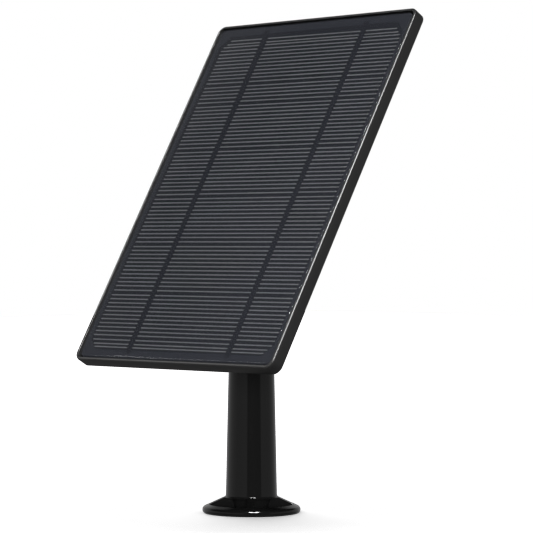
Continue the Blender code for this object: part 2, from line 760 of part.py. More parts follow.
def mount_insert(material):
    """Brass threaded insert moulded in the box's boss."""
    near = -MOUNT_INSERT_NEAR
    far = depth_at(PANEL_DEPTH + 0.0006 + 0.0010)
    length = near - far
    ring(
        "mount_insert", STUD_RADIUS + 0.00015, MOUNT_INSERT_RADIUS, length, 32, material, TILT_AXIS,
        (0, near, 0), TOWARDS_PANEL,
    )


def controller(materials):
    """Charge controller board with its components, screwed inside the box."""
    board = block("controller_board", BOARD_WIDTH, BOARD_THICK, BOARD_HEIGHT, 0.001, 2)
    centre = (0, depth_at(BOARD_FRONT + BOARD_THICK / 2), BOARD_ABOVE_STUD)
    piece = place("controller_board", board, materials["board"], TILT_AXIS, centre)
    for index, across in enumerate((-BOARD_SCREW_OFFSET, BOARD_SCREW_OFFSET)):
        start = (across, depth_at(BOARD_FRONT - 0.003), BOARD_ABOVE_STUD)
        hole = rod(f"board_hole_{index + 1}", 0.0010, 0.01, 12)
        join(piece, helper(f"board_hole_{index + 1}", hole, TILT_AXIS, start, AWAY_FROM_PANEL))
        name = f"board_screw_{index + 1}"
        points = [
            (0.0, 0.0042),
            (0.0008, 0.0042),
            (0.0008, 0.0011),
            (0.0018, 0.0011),
            (0.0018, 0.0003),
            (0.0014, 0.0),
            (0.0, 0.0),
        ]
        start = (across, depth_at(BOARD_FRONT - 0.0012), BOARD_ABOVE_STUD)
        screw = place(
            name, profile_mesh(name, points, False), materials["steel"], TILT_AXIS, start,
            AWAY_FROM_PANEL,
        )
        turn(screw, 12)
    top = BOARD_FRONT + BOARD_THICK + 0.0001
    chips = (
        ("charge_inductor", -0.0085, 0.0, 0.0062, 0.0024, 0.0062, "ferrite", 0.0012),
        ("storage_capacitor", -0.0010, 0.0030, 0.0043, 0.0019, 0.0028, "tantalum", 0.0),
        ("blocking_diode", -0.0010, -0.0035, 0.0043, 0.0020, 0.0026, "epoxy", 0.0),
        ("regulator_chip", 0.0055, 0.0025, 0.0040, 0.0010, 0.0040, "epoxy", 0.0),
        ("output_connector", 0.0080, -0.0045, 0.0075, 0.0024, 0.0045, "nylon", 0.0),
    )
    for name, across, up, width, tall, height, finish, corner in chips:
        body = block(name, width, tall, height, corner, 2)
        spot = (across, depth_at(top + tall / 2), BOARD_ABOVE_STUD + up)
        place(name, body, materials[finish], TILT_AXIS, spot)


def lead(name, across, material):
    """Short insulated lead from the back sheet through the tray to the board."""
    path = bpy.data.curves.new(name, "CURVE")
    path.dimensions = "3D"
    path.bevel_depth = 0.0005
    path.bevel_resolution = 2
    path.use_fill_caps = True
    spline = path.splines.new("POLY")
    front = depth_at(SHEET_FRONT + SHEET_THICK + 0.0002)
    back = depth_at(BOARD_FRONT - 0.0002)
    steps = 8
    spline.points.add(steps)
    for step, point in enumerate(spline.points):
        along = step / steps
        sway = 0.0008 * math.sin(math.pi * along) ** 2
        point.co = (across + sway, front + (back - front) * along, BOARD_ABOVE_STUD + sway, 1.0)
    wire = bpy.data.objects.new(name, path)
    wire.parent = TILT_AXIS
    path.materials.append(material)
    PARTS.objects.link(wire)


def gland(materials):
    """Cable gland through the lower wall: body, lock nut, seal and dome cap."""
    wall_inner = -BOX_SIZE / 2 + BOX_WALL
    centre_y = depth_at(GLAND_DEPTH)
    flange_top = -BOX_SIZE / 2 - 0.0003
    flange_foot = flange_top - 0.0015
    body_top = wall_inner + 0.0040
    foot = flange_foot - 0.0050
    height = body_top - foot
    points = [
        (GLAND_BORE, height),
        (GLAND_BODY_RADIUS, height),
        (GLAND_BODY_RADIUS, flange_top - foot),
        (GLAND_FLANGE_RADIUS, flange_top - foot),
        (GLAND_FLANGE_RADIUS, flange_foot - foot),
        (GLAND_BODY_RADIUS, flange_foot - foot),
        (GLAND_BODY_RADIUS, 0.0),
        (GLAND_BORE, 0.0),
    ]
    body = place(
        "gland_body", profile_mesh("gland_body", points, True), materials["plastic"], TILT_AXIS,
        (0, centre_y, foot),
    )
    turn(body, 24)
    nut = hexagon("gland_nut", GLAND_NUT_FLATS, 0.0018)
    piece = place("gland_nut", nut, materials["plastic"], TILT_AXIS,
                  (0, centre_y, wall_inner + 0.0003), (0, 0, math.pi / 6))
    bore = rod("gland_nut_bore", GLAND_BODY_RADIUS + 0.0001, 0.01, 24)
    join(piece, helper("gland_nut_bore", bore, TILT_AXIS, (0, centre_y, wall_inner - 0.003)))
    ring(
        "gland_seal", GLAND_SEAL_BORE, GLAND_BODY_RADIUS - 0.0001, 0.0016, 24,
        materials["rubber"], TILT_AXIS, (0, centre_y, foot - 0.0018), UPRIGHT,
    )
    cap_top = flange_foot - 0.0003
    cap_foot = foot - 0.0034
    tall = cap_top - cap_foot
    step = foot - 0.0021 - cap_foot
    points = [
        (GLAND_BODY_RADIUS + 0.0001, tall),
        (GLAND_FLANGE_RADIUS, tall),
        (GLAND_FLANGE_RADIUS, 0.0022),
        (GLAND_FLANGE_RADIUS - 0.0006, 0.0006),
        (GLAND_FLANGE_RADIUS - 0.0014, 0.0),
        (GLAND_CAP_BORE, 0.0),
        (GLAND_CAP_BORE, step),
        (GLAND_BODY_RADIUS + 0.0001, step),
    ]
    cap = place(
        "gland_cap", profile_mesh("gland_cap", points, True), materials["plastic"], TILT_AXIS,
        (0, centre_y, cap_foot),
    )
    turn(cap, 24)


def box_seal(material):
    """Rubber ring between the box and the tray."""
    piece = place(
        "box_seal",
        block("box_seal", BOX_SIZE - 0.0006, BOX_SEAL_THICK, BOX_SIZE - 0.0006, BOX_CORNER - 0.0003, 5),
        material,
        TILT_AXIS,
        (0, depth_at(PANEL_DEPTH + 0.0001 + BOX_SEAL_THICK / 2), 0),
    )
    hole_size = BOX_SIZE - 0.0006 - 2 * BOX_SEAL_WIDTH
    hole = block("box_seal_hole", hole_size, 0.01, hole_size, BOX_CORNER - BOX_SEAL_WIDTH, 5)
    join(piece, helper("box_seal_hole", hole, TILT_AXIS, (0, depth_at(PANEL_DEPTH), 0)))


# ---------------------------------------------------------------- assembly

clear_scene()
PARTS = new_collection(OBJECT_NAME)
CUTTERS = new_collection("cutters")

PAN_AXIS = empty("pan_axis", (0, 0, 0))
KNOB_AXIS = empty("knob_axis", (0, 0, PIVOT_HEIGHT), UPRIGHT, PAN_AXIS)
TILT_AXIS = empty("tilt_axis", (0, 0, PIVOT_HEIGHT), (-PANEL_LEAN, 0, 0), PAN_AXIS)
bpy.context.view_layer.update()

TOWARDS_PANEL = (math.pi / 2, 0.0, 0.0)
AWAY_FROM_PANEL = ALONG_DEPTH

MATERIALS = {
    "plastic": principled("black_plastic", (0.012, 0.012, 0.013), 0.32),
    "gloss": principled("black_gloss_plastic", (0.009, 0.009, 0.010), 0.16),
    "nylon": principled("white_nylon", (0.62, 0.60, 0.55), 0.5),
    "acetal": principled("dark_acetal", (0.030, 0.030, 0.032), 0.45),
    "rubber": principled("black_rubber", (0.018, 0.018, 0.018), 0.8),
    "foam": principled("black_foam_tape", (0.022, 0.022, 0.022), 0.9),
    "steel": principled("zinc_steel", (0.56, 0.57, 0.58), 0.3, 1.0),
    "brass": principled("brass", (0.72, 0.53, 0.24), 0.28, 1.0),
    "glass": principled("cover_glass", (0.02, 0.022, 0.026), 0.05),
    "cell": principled("solar_cell", (0.020, 0.022, 0.030), 0.35),
    "ribbon": principled("contact_ribbon", (0.020, 0.021, 0.028), 0.4),
    "sheet": principled("back_sheet", (0.028, 0.029, 0.034), 0.5),
    "board": principled("solder_mask", (0.015, 0.11, 0.05), 0.4),
    "ferrite": principled("ferrite", (0.045, 0.045, 0.05), 0.6),
    "tantalum": principled("tantalum_epoxy", (0.62, 0.38, 0.06), 0.45),
    "epoxy": principled("component_epoxy", (0.022, 0.022, 0.024), 0.55),
    "red_wire": principled("red_insulation", (0.45, 0.02, 0.02), 0.45),
    "black_wire": principled("black_insulation", (0.02, 0.02, 0.02), 0.45),
}

mount_post(MATERIALS["gloss"])
neck_insert(MATERIALS["acetal"])
hex_nut("pan_nut", MATERIALS["steel"], None, (0, 0, PAN_NUT_FLOOR))
ring("pan_washer", 0.0054, 0.0098, 0.0005, 32, MATERIALS["nylon"], None, (0, 0, 0.0792), UPRIGHT)

pan_head(MATERIALS["gloss"])
pan_bolt(MATERIALS["steel"])
pivot_bolt(MATERIALS["steel"])
ring("knob_washer", PIVOT_BORE, 0.0055, 0.0007, 32, MATERIALS["steel"], PAN_AXIS,
     (EAR_OUTER + 0.0002, 0, PIVOT_HEIGHT), ALONG_X)

tilt_knob(MATERIALS["plastic"])
hex_nut("knob_nut", MATERIALS["brass"], KNOB_AXIS,
        local_to(KNOB_AXIS, (KNOB_INNER + 0.0002, 0, PIVOT_HEIGHT)), ALONG_X)

tilt_knuckle(MATERIALS["gloss"])
for SIDE_NAME, SIDE_START in (("knuckle_washer_left", -0.00525), ("knuckle_washer_right", 0.00475)):
    ring(SIDE_NAME, PIVOT_BORE, 0.0065, 0.0005, 32, MATERIALS["nylon"], TILT_AXIS,
         (SIDE_START, 0, 0), ALONG_X)
mount_stud(MATERIALS["steel"])
lock_ring(MATERIALS["plastic"])

panel_housing(MATERIALS["plastic"])
laminate(MATERIALS)
rear_box(MATERIALS["plastic"])
box_seal(MATERIALS["rubber"])
box_fasteners(MATERIALS["steel"])
mount_insert(MATERIALS["brass"])
controller(MATERIALS)
lead("lead_positive", -0.0060, MATERIALS["red_wire"])
lead("lead_negative", 0.0060, MATERIALS["black_wire"])
gland(MATERIALS)
bpy.context.view_layer.update()
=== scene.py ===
"""Looks of a solar charging panel on an adjustable post.

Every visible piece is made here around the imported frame: the filleted housing, the
printed solar cell under its cover glass, the box behind it and the jointed mount.
"""

import json
import math

import bmesh
import bpy
from bpy.props import FloatProperty, FloatVectorProperty, IntProperty, PointerProperty
from mathutils import Matrix, Vector


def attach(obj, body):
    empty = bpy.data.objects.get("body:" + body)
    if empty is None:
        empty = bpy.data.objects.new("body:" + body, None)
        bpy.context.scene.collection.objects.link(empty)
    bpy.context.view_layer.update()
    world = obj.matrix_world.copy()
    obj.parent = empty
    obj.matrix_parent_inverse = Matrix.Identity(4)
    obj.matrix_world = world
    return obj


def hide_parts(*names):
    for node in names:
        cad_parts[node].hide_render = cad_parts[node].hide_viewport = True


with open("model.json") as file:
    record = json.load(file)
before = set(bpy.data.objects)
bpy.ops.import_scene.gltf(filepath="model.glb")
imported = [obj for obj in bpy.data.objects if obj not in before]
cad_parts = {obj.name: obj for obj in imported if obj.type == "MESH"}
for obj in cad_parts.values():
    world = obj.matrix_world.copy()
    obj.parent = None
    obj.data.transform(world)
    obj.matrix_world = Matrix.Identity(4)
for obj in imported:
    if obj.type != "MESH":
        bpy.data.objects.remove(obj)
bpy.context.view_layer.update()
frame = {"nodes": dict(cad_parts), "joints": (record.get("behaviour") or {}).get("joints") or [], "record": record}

bl_info = {
    "name": "Solar Charging Panel",
    "version": (1, 0, 0),
    "blender": (4, 5, 0),
    "location": "View3D > Sidebar > Solar Panel",
    "description": "Builds a framed solar charging panel on a screw-down post",
    "category": "Add Mesh",
}

JOINTS = {joint["name"]: joint for joint in frame["joints"]}
PIVOT = Vector(JOINTS["tilt"]["pos_m"])
NORMAL = Vector(JOINTS["panel_turn"]["axis"]).normalized()
PANEL_SPACE = Matrix.Translation(PIVOT) @ Matrix.Rotation(-math.asin(NORMAL.z), 4, "X")
WORLD_SPACE = Matrix.Identity(4)

# Mesh clean-up: lengths in metres, and the angle in degrees under which faces count as flat.
MERGE = 0.000002
SAME_LENGTH = 0.00002
FLAT_ANGLE = 1.0

# Roundings of small edges, in metres.
HAIR_EDGE = 0.00015
FINE_EDGE = 0.0002
SMALL_EDGE = 0.0003
FORK_EDGE = 0.0004
BOX_EDGE = 0.0006
RIM_INNER_EDGE = 0.00022
GLASS_EDGE = 0.00025

# Gaps inside the housing, in metres.
FLOOR_UNDER_SEAL = 0.0002
BACK_BEFORE_SEAL = 0.0001
# How far short of the rim's front and back the painted shade in the glass recess stops.
SHADE_PAINT_MARGIN = 0.0003

# The printed lines: thickness as a share of the width, how far the first and last lines are
# cut back at the cell's corners, and the lines that end a strip.
LINE_THICKNESS = 0.05
CORNER_TRIMS = {0: 0.0042, 1: 0.0026, 2: 0.0008}
STRIP_ENDS = (13, 25, 37, 49, 61, 66)

# Upward part of a face's normal: less than the first on a pocket's wall, more than the
# second on the skirt.
POCKET_WALL_SLOPE = 0.35
SKIRT_SLOPE = 0.75

# What the glint and fill lamps light.
PANEL_FACE = (
    "housing_shell",
    "glass_sheet",
    "contact_lines",
    "solar_cell",
    "contact_ribbon_left",
    "contact_ribbon_right",
    "back_sheet",
)

# The room's light: the dark gap ahead, in degrees. The pairs are the start and end of a
# change, as heights or as how far a direction points ahead, both from -1 to 1.
GAP_TURN = 13.0
GAP_HALF_ANGLE = 33.0
GAP_SOFTNESS = 0.01
WALL_TOP = (0.35, 0.55)
CEILING_RISE = (0.25, 0.50)
CEILING_END = (-0.74, -0.64)
COVE_REACH = (0.1, -0.9)
GROUND_FALL = (-0.10, -0.35)
GROUND_DIMMING = 0.7

# The floor, in metres, and how its shadow fades.
FLOOR_SIZE = 3.0
SHADOW_FADE = (0.05, 0.16)
SHADOW_AT_EDGE = 0.9

# Each lamp: where it stands, what it faces, its side, whether it gives only highlights
# or only soft light, and whether it lights the panel's face or every piece.
LAMPS = {
    "key": ((0.60, -0.44, 0.79), (0.0, 0.0, 0.13), 0.35, "highlights", "pieces"),
    "glint": ((-0.76, -0.73, 0.38), (0.0, 0.0, 0.05), 0.3, "highlights", "panel"),
    "fill": ((0.20, -0.80, 0.66), (0.0, 0.0, 0.13), 0.5, "soft", "panel"),
    "low": ((0.80, -0.68, 0.10), (0.0, 0.0, 0.08), 0.4, "soft", "pieces"),
    "back": ((-0.68, 0.66, 0.20), (0.0, 0.0, 0.13), 0.6, "soft", "pieces"),
}


# ------------------------------------------------------------------ places in the frame


def reach(node, space=WORLD_SPACE):
    """Lowest and highest corner of a CAD node, in the given space."""
    back = space.inverted()
    points = [back @ vertex.co for vertex in frame["nodes"][node].data.vertices]
    low = Vector([min(point[axis] for point in points) for axis in range(3)])
    high = Vector([max(point[axis] for point in points) for axis in range(3)])
    return low, high


def middle(node, space=WORLD_SPACE):
    """Centre of a CAD node's box, in the given space."""
    low, high = reach(node, space)
    return (low + high) / 2


def extent(node, space=WORLD_SPACE):
    """Size of a CAD node's box, in the given space."""
    low, high = reach(node, space)
    return high - low


# ------------------------------------------------------------------ mesh helpers


def near(first, second):
    """True if two lengths are the same within a fiftieth of a millimetre."""
    return abs(first - second) < SAME_LENGTH


def soften(shape, edges, width, segments):
    """Round the given edges."""
    bmesh.ops.bevel(
        shape,
        geom=edges,
        offset=width,
        offset_type="OFFSET",
        segments=segments,
        profile=0.5,
        affect="EDGES",
        clamp_overlap=True,
        material=-1,
    )


def plate(size, corner, segments):
    """A slab lying in the XZ plane whose four corner posts are rounded."""
    shape = bmesh.new()
    bmesh.ops.create_cube(shape, size=1.0, matrix=Matrix.Diagonal((*size, 1.0)))
    posts = [
        edge
        for edge in shape.edges
        if abs(edge.verts[0].co.y - edge.verts[1].co.y) > size.y / 2
    ]
    soften(shape, posts, corner, segments)
    return shape


def outline_edges(shape, depth):
    """The closed outline of a flat face at one depth: edges that border a wall."""
    return [
        edge
        for edge in shape.edges
        if near(edge.verts[0].co.y, depth)
        and near(edge.verts[1].co.y, depth)
        and any(abs(face.normal.y) < 0.5 for face in edge.link_faces)
    ]


def finished(shape, name, material, body, space=WORLD_SPACE, stands_for=(), crease=35):
    """Turn a bmesh into a piece that rides on a body, with its place in its mesh."""
    mesh = bpy.data.meshes.new(name)
    bmesh.ops.transform(shape, matrix=space, verts=shape.verts)
    shape.to_mesh(mesh)
    shape.free()
    mesh.shade_smooth()
    mesh.set_sharp_from_angle(angle=math.radians(crease))
    mesh.materials.append(material)
    piece = bpy.data.objects.new(name, mesh)
    bpy.context.scene.collection.objects.link(piece)
    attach(piece, body)
    if stands_for:
        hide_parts(*stands_for)
    return piece


def bevelled(piece, width, segments=2, angle=35):
    """Round a piece's sharp edges with a live bevel."""
    modifier = piece.modifiers.new("rounded_edges", "BEVEL")
    modifier.width = width
    modifier.segments = segments
    modifier.limit_method = "ANGLE"
    modifier.angle_limit = math.radians(angle)
    modifier.miter_outer = "MITER_ARC"
    modifier.use_clamp_overlap = True
    weights = piece.modifiers.new("even_shading", "WEIGHTED_NORMAL")
    weights.keep_sharp = False
    return piece


def node_body(node):
    """The body that a CAD node belongs to."""
    for body, members in frame["record"]["behaviour"]["bodies"].items():
        if node in members:
            return body
    raise ValueError(f"no body holds {node}")


def merged_copy(node):
    """A copy of a CAD node with its doubles merged and its flat faces made whole."""
    shape = bmesh.new()
    shape.from_mesh(frame["nodes"][node].data)
    bmesh.ops.remove_doubles(shape, verts=shape.verts, dist=MERGE)
    bmesh.ops.dissolve_limit(
        shape, angle_limit=math.radians(FLAT_ANGLE), verts=shape.verts, edges=shape.edges
    )
    return shape


def dressed(node, name, material, width, segments=2, angle=35):
    """A merged copy of a CAD node with rounded edges, which stands for the node."""
    piece = finished(
        merged_copy(node), name, material, node_body(node),
        stands_for=(node,), crease=180,
    )
    return bevelled(piece, width, segments, angle)


def flange_post(material, sizes):
    """The post and flange, its ribs and rim rounded where they drop into the pockets."""
    shape = merged_copy("mount_post")
    lips = [edge for edge in shape.edges if is_pocket_lip(edge, sizes)]
    soften(shape, lips, sizes.lip_round, segments=3)
    piece = finished(
        shape, "post_and_flange", material, "base",
        stands_for=("mount_post",), crease=50,
    )
    return bevelled(piece, HAIR_EDGE, angle=50)


def is_pocket_lip(edge, sizes):
    """True for an edge between the flange's sloping skirt and the wall of a pocket."""
    if len(edge.link_faces) != 2:
        return False
    for vertex in edge.verts:
        radius = math.hypot(vertex.co.x, vertex.co.y)
        if not sizes.skirt_start < radius < sizes.skirt_end or vertex.co.z < sizes.lip_low:
            return False
    slopes = sorted(abs(face.normal.z) for face in edge.link_faces)
    return slopes[0] < POCKET_WALL_SLOPE and slopes[1] > SKIRT_SLOPE


def coat(node, material):
    """Give a CAD node that already has the right shape its finished material."""
    for slot in frame["nodes"][node].material_slots:
        slot.material = material


# ------------------------------------------------------------------ shader helpers


class Signal:
    """A shader socket that Python arithmetic can be done on."""

    def __init__(self, recipe, socket):
        self.recipe = recipe
        self.socket = socket

    def _math(self, operation, first, second):
        return self.recipe.add("ShaderNodeMath", {"operation": operation}, {0: first, 1: second})

    def __add__(self, other):
        return self._math("ADD", self, other)

    def __radd__(self, other):
        return self._math("ADD", other, self)

    def __sub__(self, other):
        return self._math("SUBTRACT", self, other)

    def __rsub__(self, other):
        return self._math("SUBTRACT", other, self)

    def __mul__(self, other):
        return self._math("MULTIPLY", self, other)

    def __rmul__(self, other):
        return self._math("MULTIPLY", other, self)


class Recipe:
    """A node tree that is filled by one method."""

    def __init__(self, tree):
        self.tree = tree
        self.nodes = tree.nodes
        self.nodes.clear()

    def node(self, kind, settings=None, inputs=None):
        """Add a node: its settings first, then the values or links of its sockets."""
        made = self.nodes.new(kind)
        for key, value in (settings or {}).items():
            setattr(made, key, value)
        for key, value in (inputs or {}).items():
            if isinstance(value, Signal):
                self.tree.links.new(value.socket, made.inputs[key])
            else:
                made.inputs[key].default_value = value
        return made

    def add(self, kind, settings=None, inputs=None, output=0):
        """Add a node and return one of its outputs."""
        return Signal(self, self.node(kind, settings, inputs).outputs[output])

    def place(self):
        """Object coordinates, in metres."""
        return self.add("ShaderNodeTexCoord", output="Object")

    def noise(self, scale, detail=3.0, roughness=0.5, vector=None):
        """Fractal noise from 0 to 1."""
        return self.add(
            "ShaderNodeTexNoise",
            {"noise_dimensions": "3D"},
            {
                "Vector": vector or self.place(),
                "Scale": scale,
                "Detail": detail,
                "Roughness": roughness,
            },
        )

    def mapped(self, value, low, high, to_low=0.0, to_high=1.0, smooth=False):
        """A value carried from one range to another, clamped."""
        kind = "SMOOTHSTEP" if smooth else "LINEAR"
        return self.add(
            "ShaderNodeMapRange",
            {"clamp": True, "interpolation_type": kind},
            {"Value": value, 1: low, 2: high, 3: to_low, 4: to_high},
        )

    def blend(self, factor, first, second):
        """A colour between two colours."""
        return self.add(
            "ShaderNodeMix",
            {"data_type": "RGBA", "blend_type": "MIX"},
            {0: factor, 6: first, 7: second},
            output=2,
        )

    def bump(self, height, distance, strength=1.0):
        """A surface normal from a height."""
        inputs = {"Strength": strength, "Distance": distance, "Height": height}
        return self.add("ShaderNodeBump", None, inputs)


def surface(name, varying, **fixed):
    """A material: fixed numbers on its shader's sockets, and a function for what varies."""
    material = bpy.data.materials.new(name)
    material.use_nodes = True
    recipe = Recipe(material.node_tree)
    sockets = {key.replace("_", " ").title().replace("Ior", "IOR"): fixed[key] for key in fixed}
    shader = recipe.add("ShaderNodeBsdfPrincipled", None, {**sockets, **varying(recipe)})
    recipe.node("ShaderNodeOutputMaterial", None, {"Surface": shader})
    return material


def rgba(colour, gain=1.0):
    """A colour with full alpha."""
    return (colour[0] * gain, colour[1] * gain, colour[2] * gain, 1.0)


# ------------------------------------------------------------------ materials


def moulded_plastic(name, colour, roughness, grain_size, grain_depth):
    """Moulded plastic: fine spark-eroded grain, slow cloudiness and faint handling marks."""

    def varying(recipe):
        grain = recipe.noise(1.0 / grain_size, detail=2.0, roughness=0.55)
        cloud = recipe.noise(45.0, detail=3.0, roughness=0.5)
        scuffs = recipe.noise(160.0, detail=6.0, roughness=0.7)
        rubbed = recipe.mapped(scuffs, 0.55, 0.8, smooth=True)
        tint = recipe.blend(cloud * 0.8 + rubbed * 0.12, rgba(colour, 0.85), rgba(colour, 1.2))
        return {
            "Base Color": tint,
            "Roughness": roughness + (cloud - 0.5) * 0.06 + rubbed * 0.035,
            "Normal": recipe.bump(grain, grain_depth),
        }

    return surface(name, varying, ior=1.5)


def polished_plastic(name, colour, roughness):
    """Polished black plastic: slight flow waviness, fine dust and hairline wipe marks."""

    def varying(recipe):
        flow = recipe.noise(60.0, detail=1.0, roughness=0.4)
        stretched = recipe.add(
            "ShaderNodeMapping", None, {"Vector": recipe.place(), "Scale": (1.0, 1.0, 0.08)}
        )
        wipes = recipe.noise(2600.0, detail=2.0, roughness=0.6, vector=stretched)
        hairs = recipe.mapped(wipes, 0.62, 0.78)
        specks = recipe.noise(1400.0, detail=2.0, roughness=0.7)
        dust = recipe.mapped(specks, 0.70, 0.80)
        return {
            "Base Color": recipe.blend(dust * 0.4, rgba(colour), rgba((0.05, 0.05, 0.05))),
            "Roughness": roughness + flow * 0.03 + hairs * 0.03 + dust * 0.15,
            "Normal": recipe.bump(flow, 0.00002, strength=0.35),
        }

    return surface(name, varying, ior=1.5)


def plated_steel(name, colour):
    """Zinc-plated steel: spangled grey, brushed by turning."""

    def varying(recipe):
        spangle = recipe.noise(900.0, detail=4.0, roughness=0.6)
        wide = recipe.noise(150.0, detail=2.0, roughness=0.5)
        return {
            "Base Color": recipe.blend(spangle * 0.6, rgba(colour, 0.82), rgba(colour, 1.1)),
            "Roughness": 0.22 + spangle * 0.16 + wide * 0.06,
            "Normal": recipe.bump(spangle, 0.000012, strength=0.5),
        }

    return surface(name, varying, metallic=1.0)


def turned_brass(name, colour):
    """Turned brass: rings of fine tool marks and a little tarnish."""

    def varying(recipe):
        stains = recipe.noise(260.0, detail=5.0, roughness=0.6)
        tarnish = recipe.mapped(stains, 0.45, 0.75)
        marks = recipe.noise(3000.0, detail=1.0, roughness=0.5)
        return {
            "Base Color": recipe.blend(tarnish, rgba(colour), rgba((0.42, 0.27, 0.12))),
            "Roughness": 0.20 + marks * 0.12 + tarnish * 0.12,
            "Normal": recipe.bump(marks, 0.00001, strength=0.5),
        }

    return surface(name, varying, metallic=1.0)


def soft_polymer(name, colour, roughness, pores):
    """Rubber, foam or nylon: a matte skin with pores of the given size."""

    def varying(recipe):
        pore = recipe.noise(1.0 / pores, detail=3.0, roughness=0.6)
        cloud = recipe.noise(70.0, detail=2.0, roughness=0.5)
        return {
            "Base Color": recipe.blend(cloud, rgba(colour, 0.8), rgba(colour, 1.2)),
            "Roughness": roughness + (pore - 0.5) * 0.1,
            "Normal": recipe.bump(pore, pores * 0.08, strength=0.6),
        }

    return surface(name, varying, ior=1.48)


def solder_mask(name, colour):
    """Circuit board: solder mask over etched tracks, with tinned pads."""

    def varying(recipe):
        stretched = recipe.add(
            "ShaderNodeMapping", None, {"Vector": recipe.place(), "Scale": (1.0, 0.2, 0.35)}
        )
        tracks = recipe.add(
            "ShaderNodeTexBrick",
            {"offset": 0.37},
            {
                "Vector": stretched,
                "Color1": (1, 1, 1, 1),
                "Color2": (0.55, 0.55, 0.55, 1),
                "Mortar": (0, 0, 0, 1),
                "Scale": 330.0,
                "Mortar Size": 0.06,
            },
        )
        fibre = recipe.noise(1800.0, detail=2.0, roughness=0.5)
        return {
            "Base Color": recipe.blend(tracks, rgba(colour, 0.45), rgba(colour, 1.15)),
            "Roughness": 0.32 + fibre * 0.12,
            "Normal": recipe.bump(tracks, 0.00003, strength=0.6),
        }

    return surface(name, varying, ior=1.55)


def wafer(name, colour, mottle_colour):
    """Dark monocrystalline cell: blue-black coating with slight mottling."""

    def varying(recipe):
        slow = recipe.noise(22.0, detail=3.0, roughness=0.55)
        fine = recipe.noise(2400.0, detail=2.0, roughness=0.5)
        tint = recipe.blend(recipe.mapped(slow, 0.3, 0.7), rgba(colour), rgba(mottle_colour))
        return {"Base Color": tint, "Roughness": 0.42 + fine * 0.08}

    return surface(name, varying, ior=1.5, specular_ior_level=0.1)


def printed_silver(name, colour):
    """Screen-printed contact paste: pale grey, slightly uneven along its length."""

    def varying(recipe):
        paste = recipe.noise(900.0, detail=3.0, roughness=0.6)
        return {
            "Base Color": recipe.blend(paste, rgba(colour, 0.82), rgba(colour, 1.15)),
            "Roughness": 0.5 + paste * 0.15,
        }

    return surface(name, varying, ior=1.5, specular_ior_level=0.1)


def laminate_sheet(name, colour):
    """Dark sheet behind the cell: even, with the faint weave of its glass fibre."""

    def varying(recipe):
        weave = recipe.noise(1500.0, detail=2.0, roughness=0.5)
        cloud = recipe.noise(30.0, detail=2.0, roughness=0.5)
        shade = cloud * 0.6 + weave * 0.3
        return {
            "Base Color": recipe.blend(shade, rgba(colour, 0.9), rgba(colour, 1.1)),
            "Roughness": 0.5 + weave * 0.1,
        }

    return surface(name, varying, ior=1.5, specular_ior_level=0.1)


def cover_glass(name, roughness):
    """Clear cover: a faint etched texture, and lamps shine through it."""
    material = bpy.data.materials.new(name)
    material.use_nodes = True
    recipe = Recipe(material.node_tree)
    ripple = recipe.noise(180.0, detail=1.0, roughness=0.4)
    glass = recipe.add(
        "ShaderNodeBsdfPrincipled",
        None,
        {
            "Base Color": (0.96, 0.97, 1.0, 1.0),
            "Roughness": roughness,
            "IOR": 1.5,
            "Transmission Weight": 1.0,
            "Normal": recipe.bump(ripple, 0.000004, strength=0.08),
        },
    )
    clear = recipe.add("ShaderNodeBsdfTransparent")
    lamp_ray = recipe.add("ShaderNodeLightPath", output="Is Shadow Ray")
    mixed = recipe.add("ShaderNodeMixShader", None, {0: lamp_ray, 1: glass, 2: clear})
    recipe.node("ShaderNodeOutputMaterial", None, {"Surface": mixed})
    return material


# ------------------------------------------------------------------ settings


class FinishSettings(bpy.types.PropertyGroup):
    """Colours of the finishes."""

    housing: FloatVectorProperty(
        name="Housing", description="Satin black of the panel housing", subtype="COLOR",
        size=3, min=0.0, max=1.0, default=(0.030, 0.030, 0.030),
    )
    post: FloatVectorProperty(
        name="Post", description="Polished black of the post and fork", subtype="COLOR",
        size=3, min=0.0, max=1.0, default=(0.0170, 0.0170, 0.0170),
    )
    cell: FloatVectorProperty(
        name="Cell", description="Blue-black of the solar cell", subtype="COLOR",
        size=3, min=0.0, max=1.0, default=(0.0022, 0.0023, 0.0036),
    )
    sheet: FloatVectorProperty(
        name="Back sheet", description="Dark sheet round the cell", subtype="COLOR",
        size=3, min=0.0, max=1.0, default=(0.021, 0.022, 0.028),
    )
    finger: FloatVectorProperty(
        name="Contact lines", description="Grey of the printed lines", subtype="COLOR",
        size=3, min=0.0, max=1.0, default=(0.26, 0.26, 0.265),
    )


class PanelSettings(bpy.types.PropertyGroup):
    """Sizes of the housing and its rim."""

    corner: FloatProperty(
        name="Corner", description="Radius of the housing's corners",
        default=0.0042, unit="LENGTH", precision=5,
    )
    rim: FloatProperty(
        name="Rim", description="Width of the rim round the glass",
        default=0.0014, unit="LENGTH", precision=5,
    )
    front_round: FloatProperty(
        name="Front rounding", description="Rounding of the rim's outer edge",
        default=0.0010, unit="LENGTH", precision=5,
    )
    back_round: FloatProperty(
        name="Back rounding", description="Rounding of the housing's back edge",
        default=0.0006, unit="LENGTH", precision=5,
    )


class FlangeSettings(bpy.types.PropertyGroup):
    """Where the flange's skirt meets its pockets."""

    lip_round: FloatProperty(
        name="Lip rounding", description="Rounding of the ribs and rim",
        default=0.0006, unit="LENGTH", precision=5,
    )
    lip_low: FloatProperty(
        name="Lip height", description="Lowest height at which an edge counts as a lip",
        default=0.0034, unit="LENGTH", precision=5,
    )
    skirt_start: FloatProperty(
        name="Skirt start", description="Radius at which the skirt starts",
        default=0.0121, unit="LENGTH", precision=5,
    )
    skirt_end: FloatProperty(
        name="Skirt end", description="Radius at which the skirt ends",
        default=0.0200, unit="LENGTH", precision=5,
    )


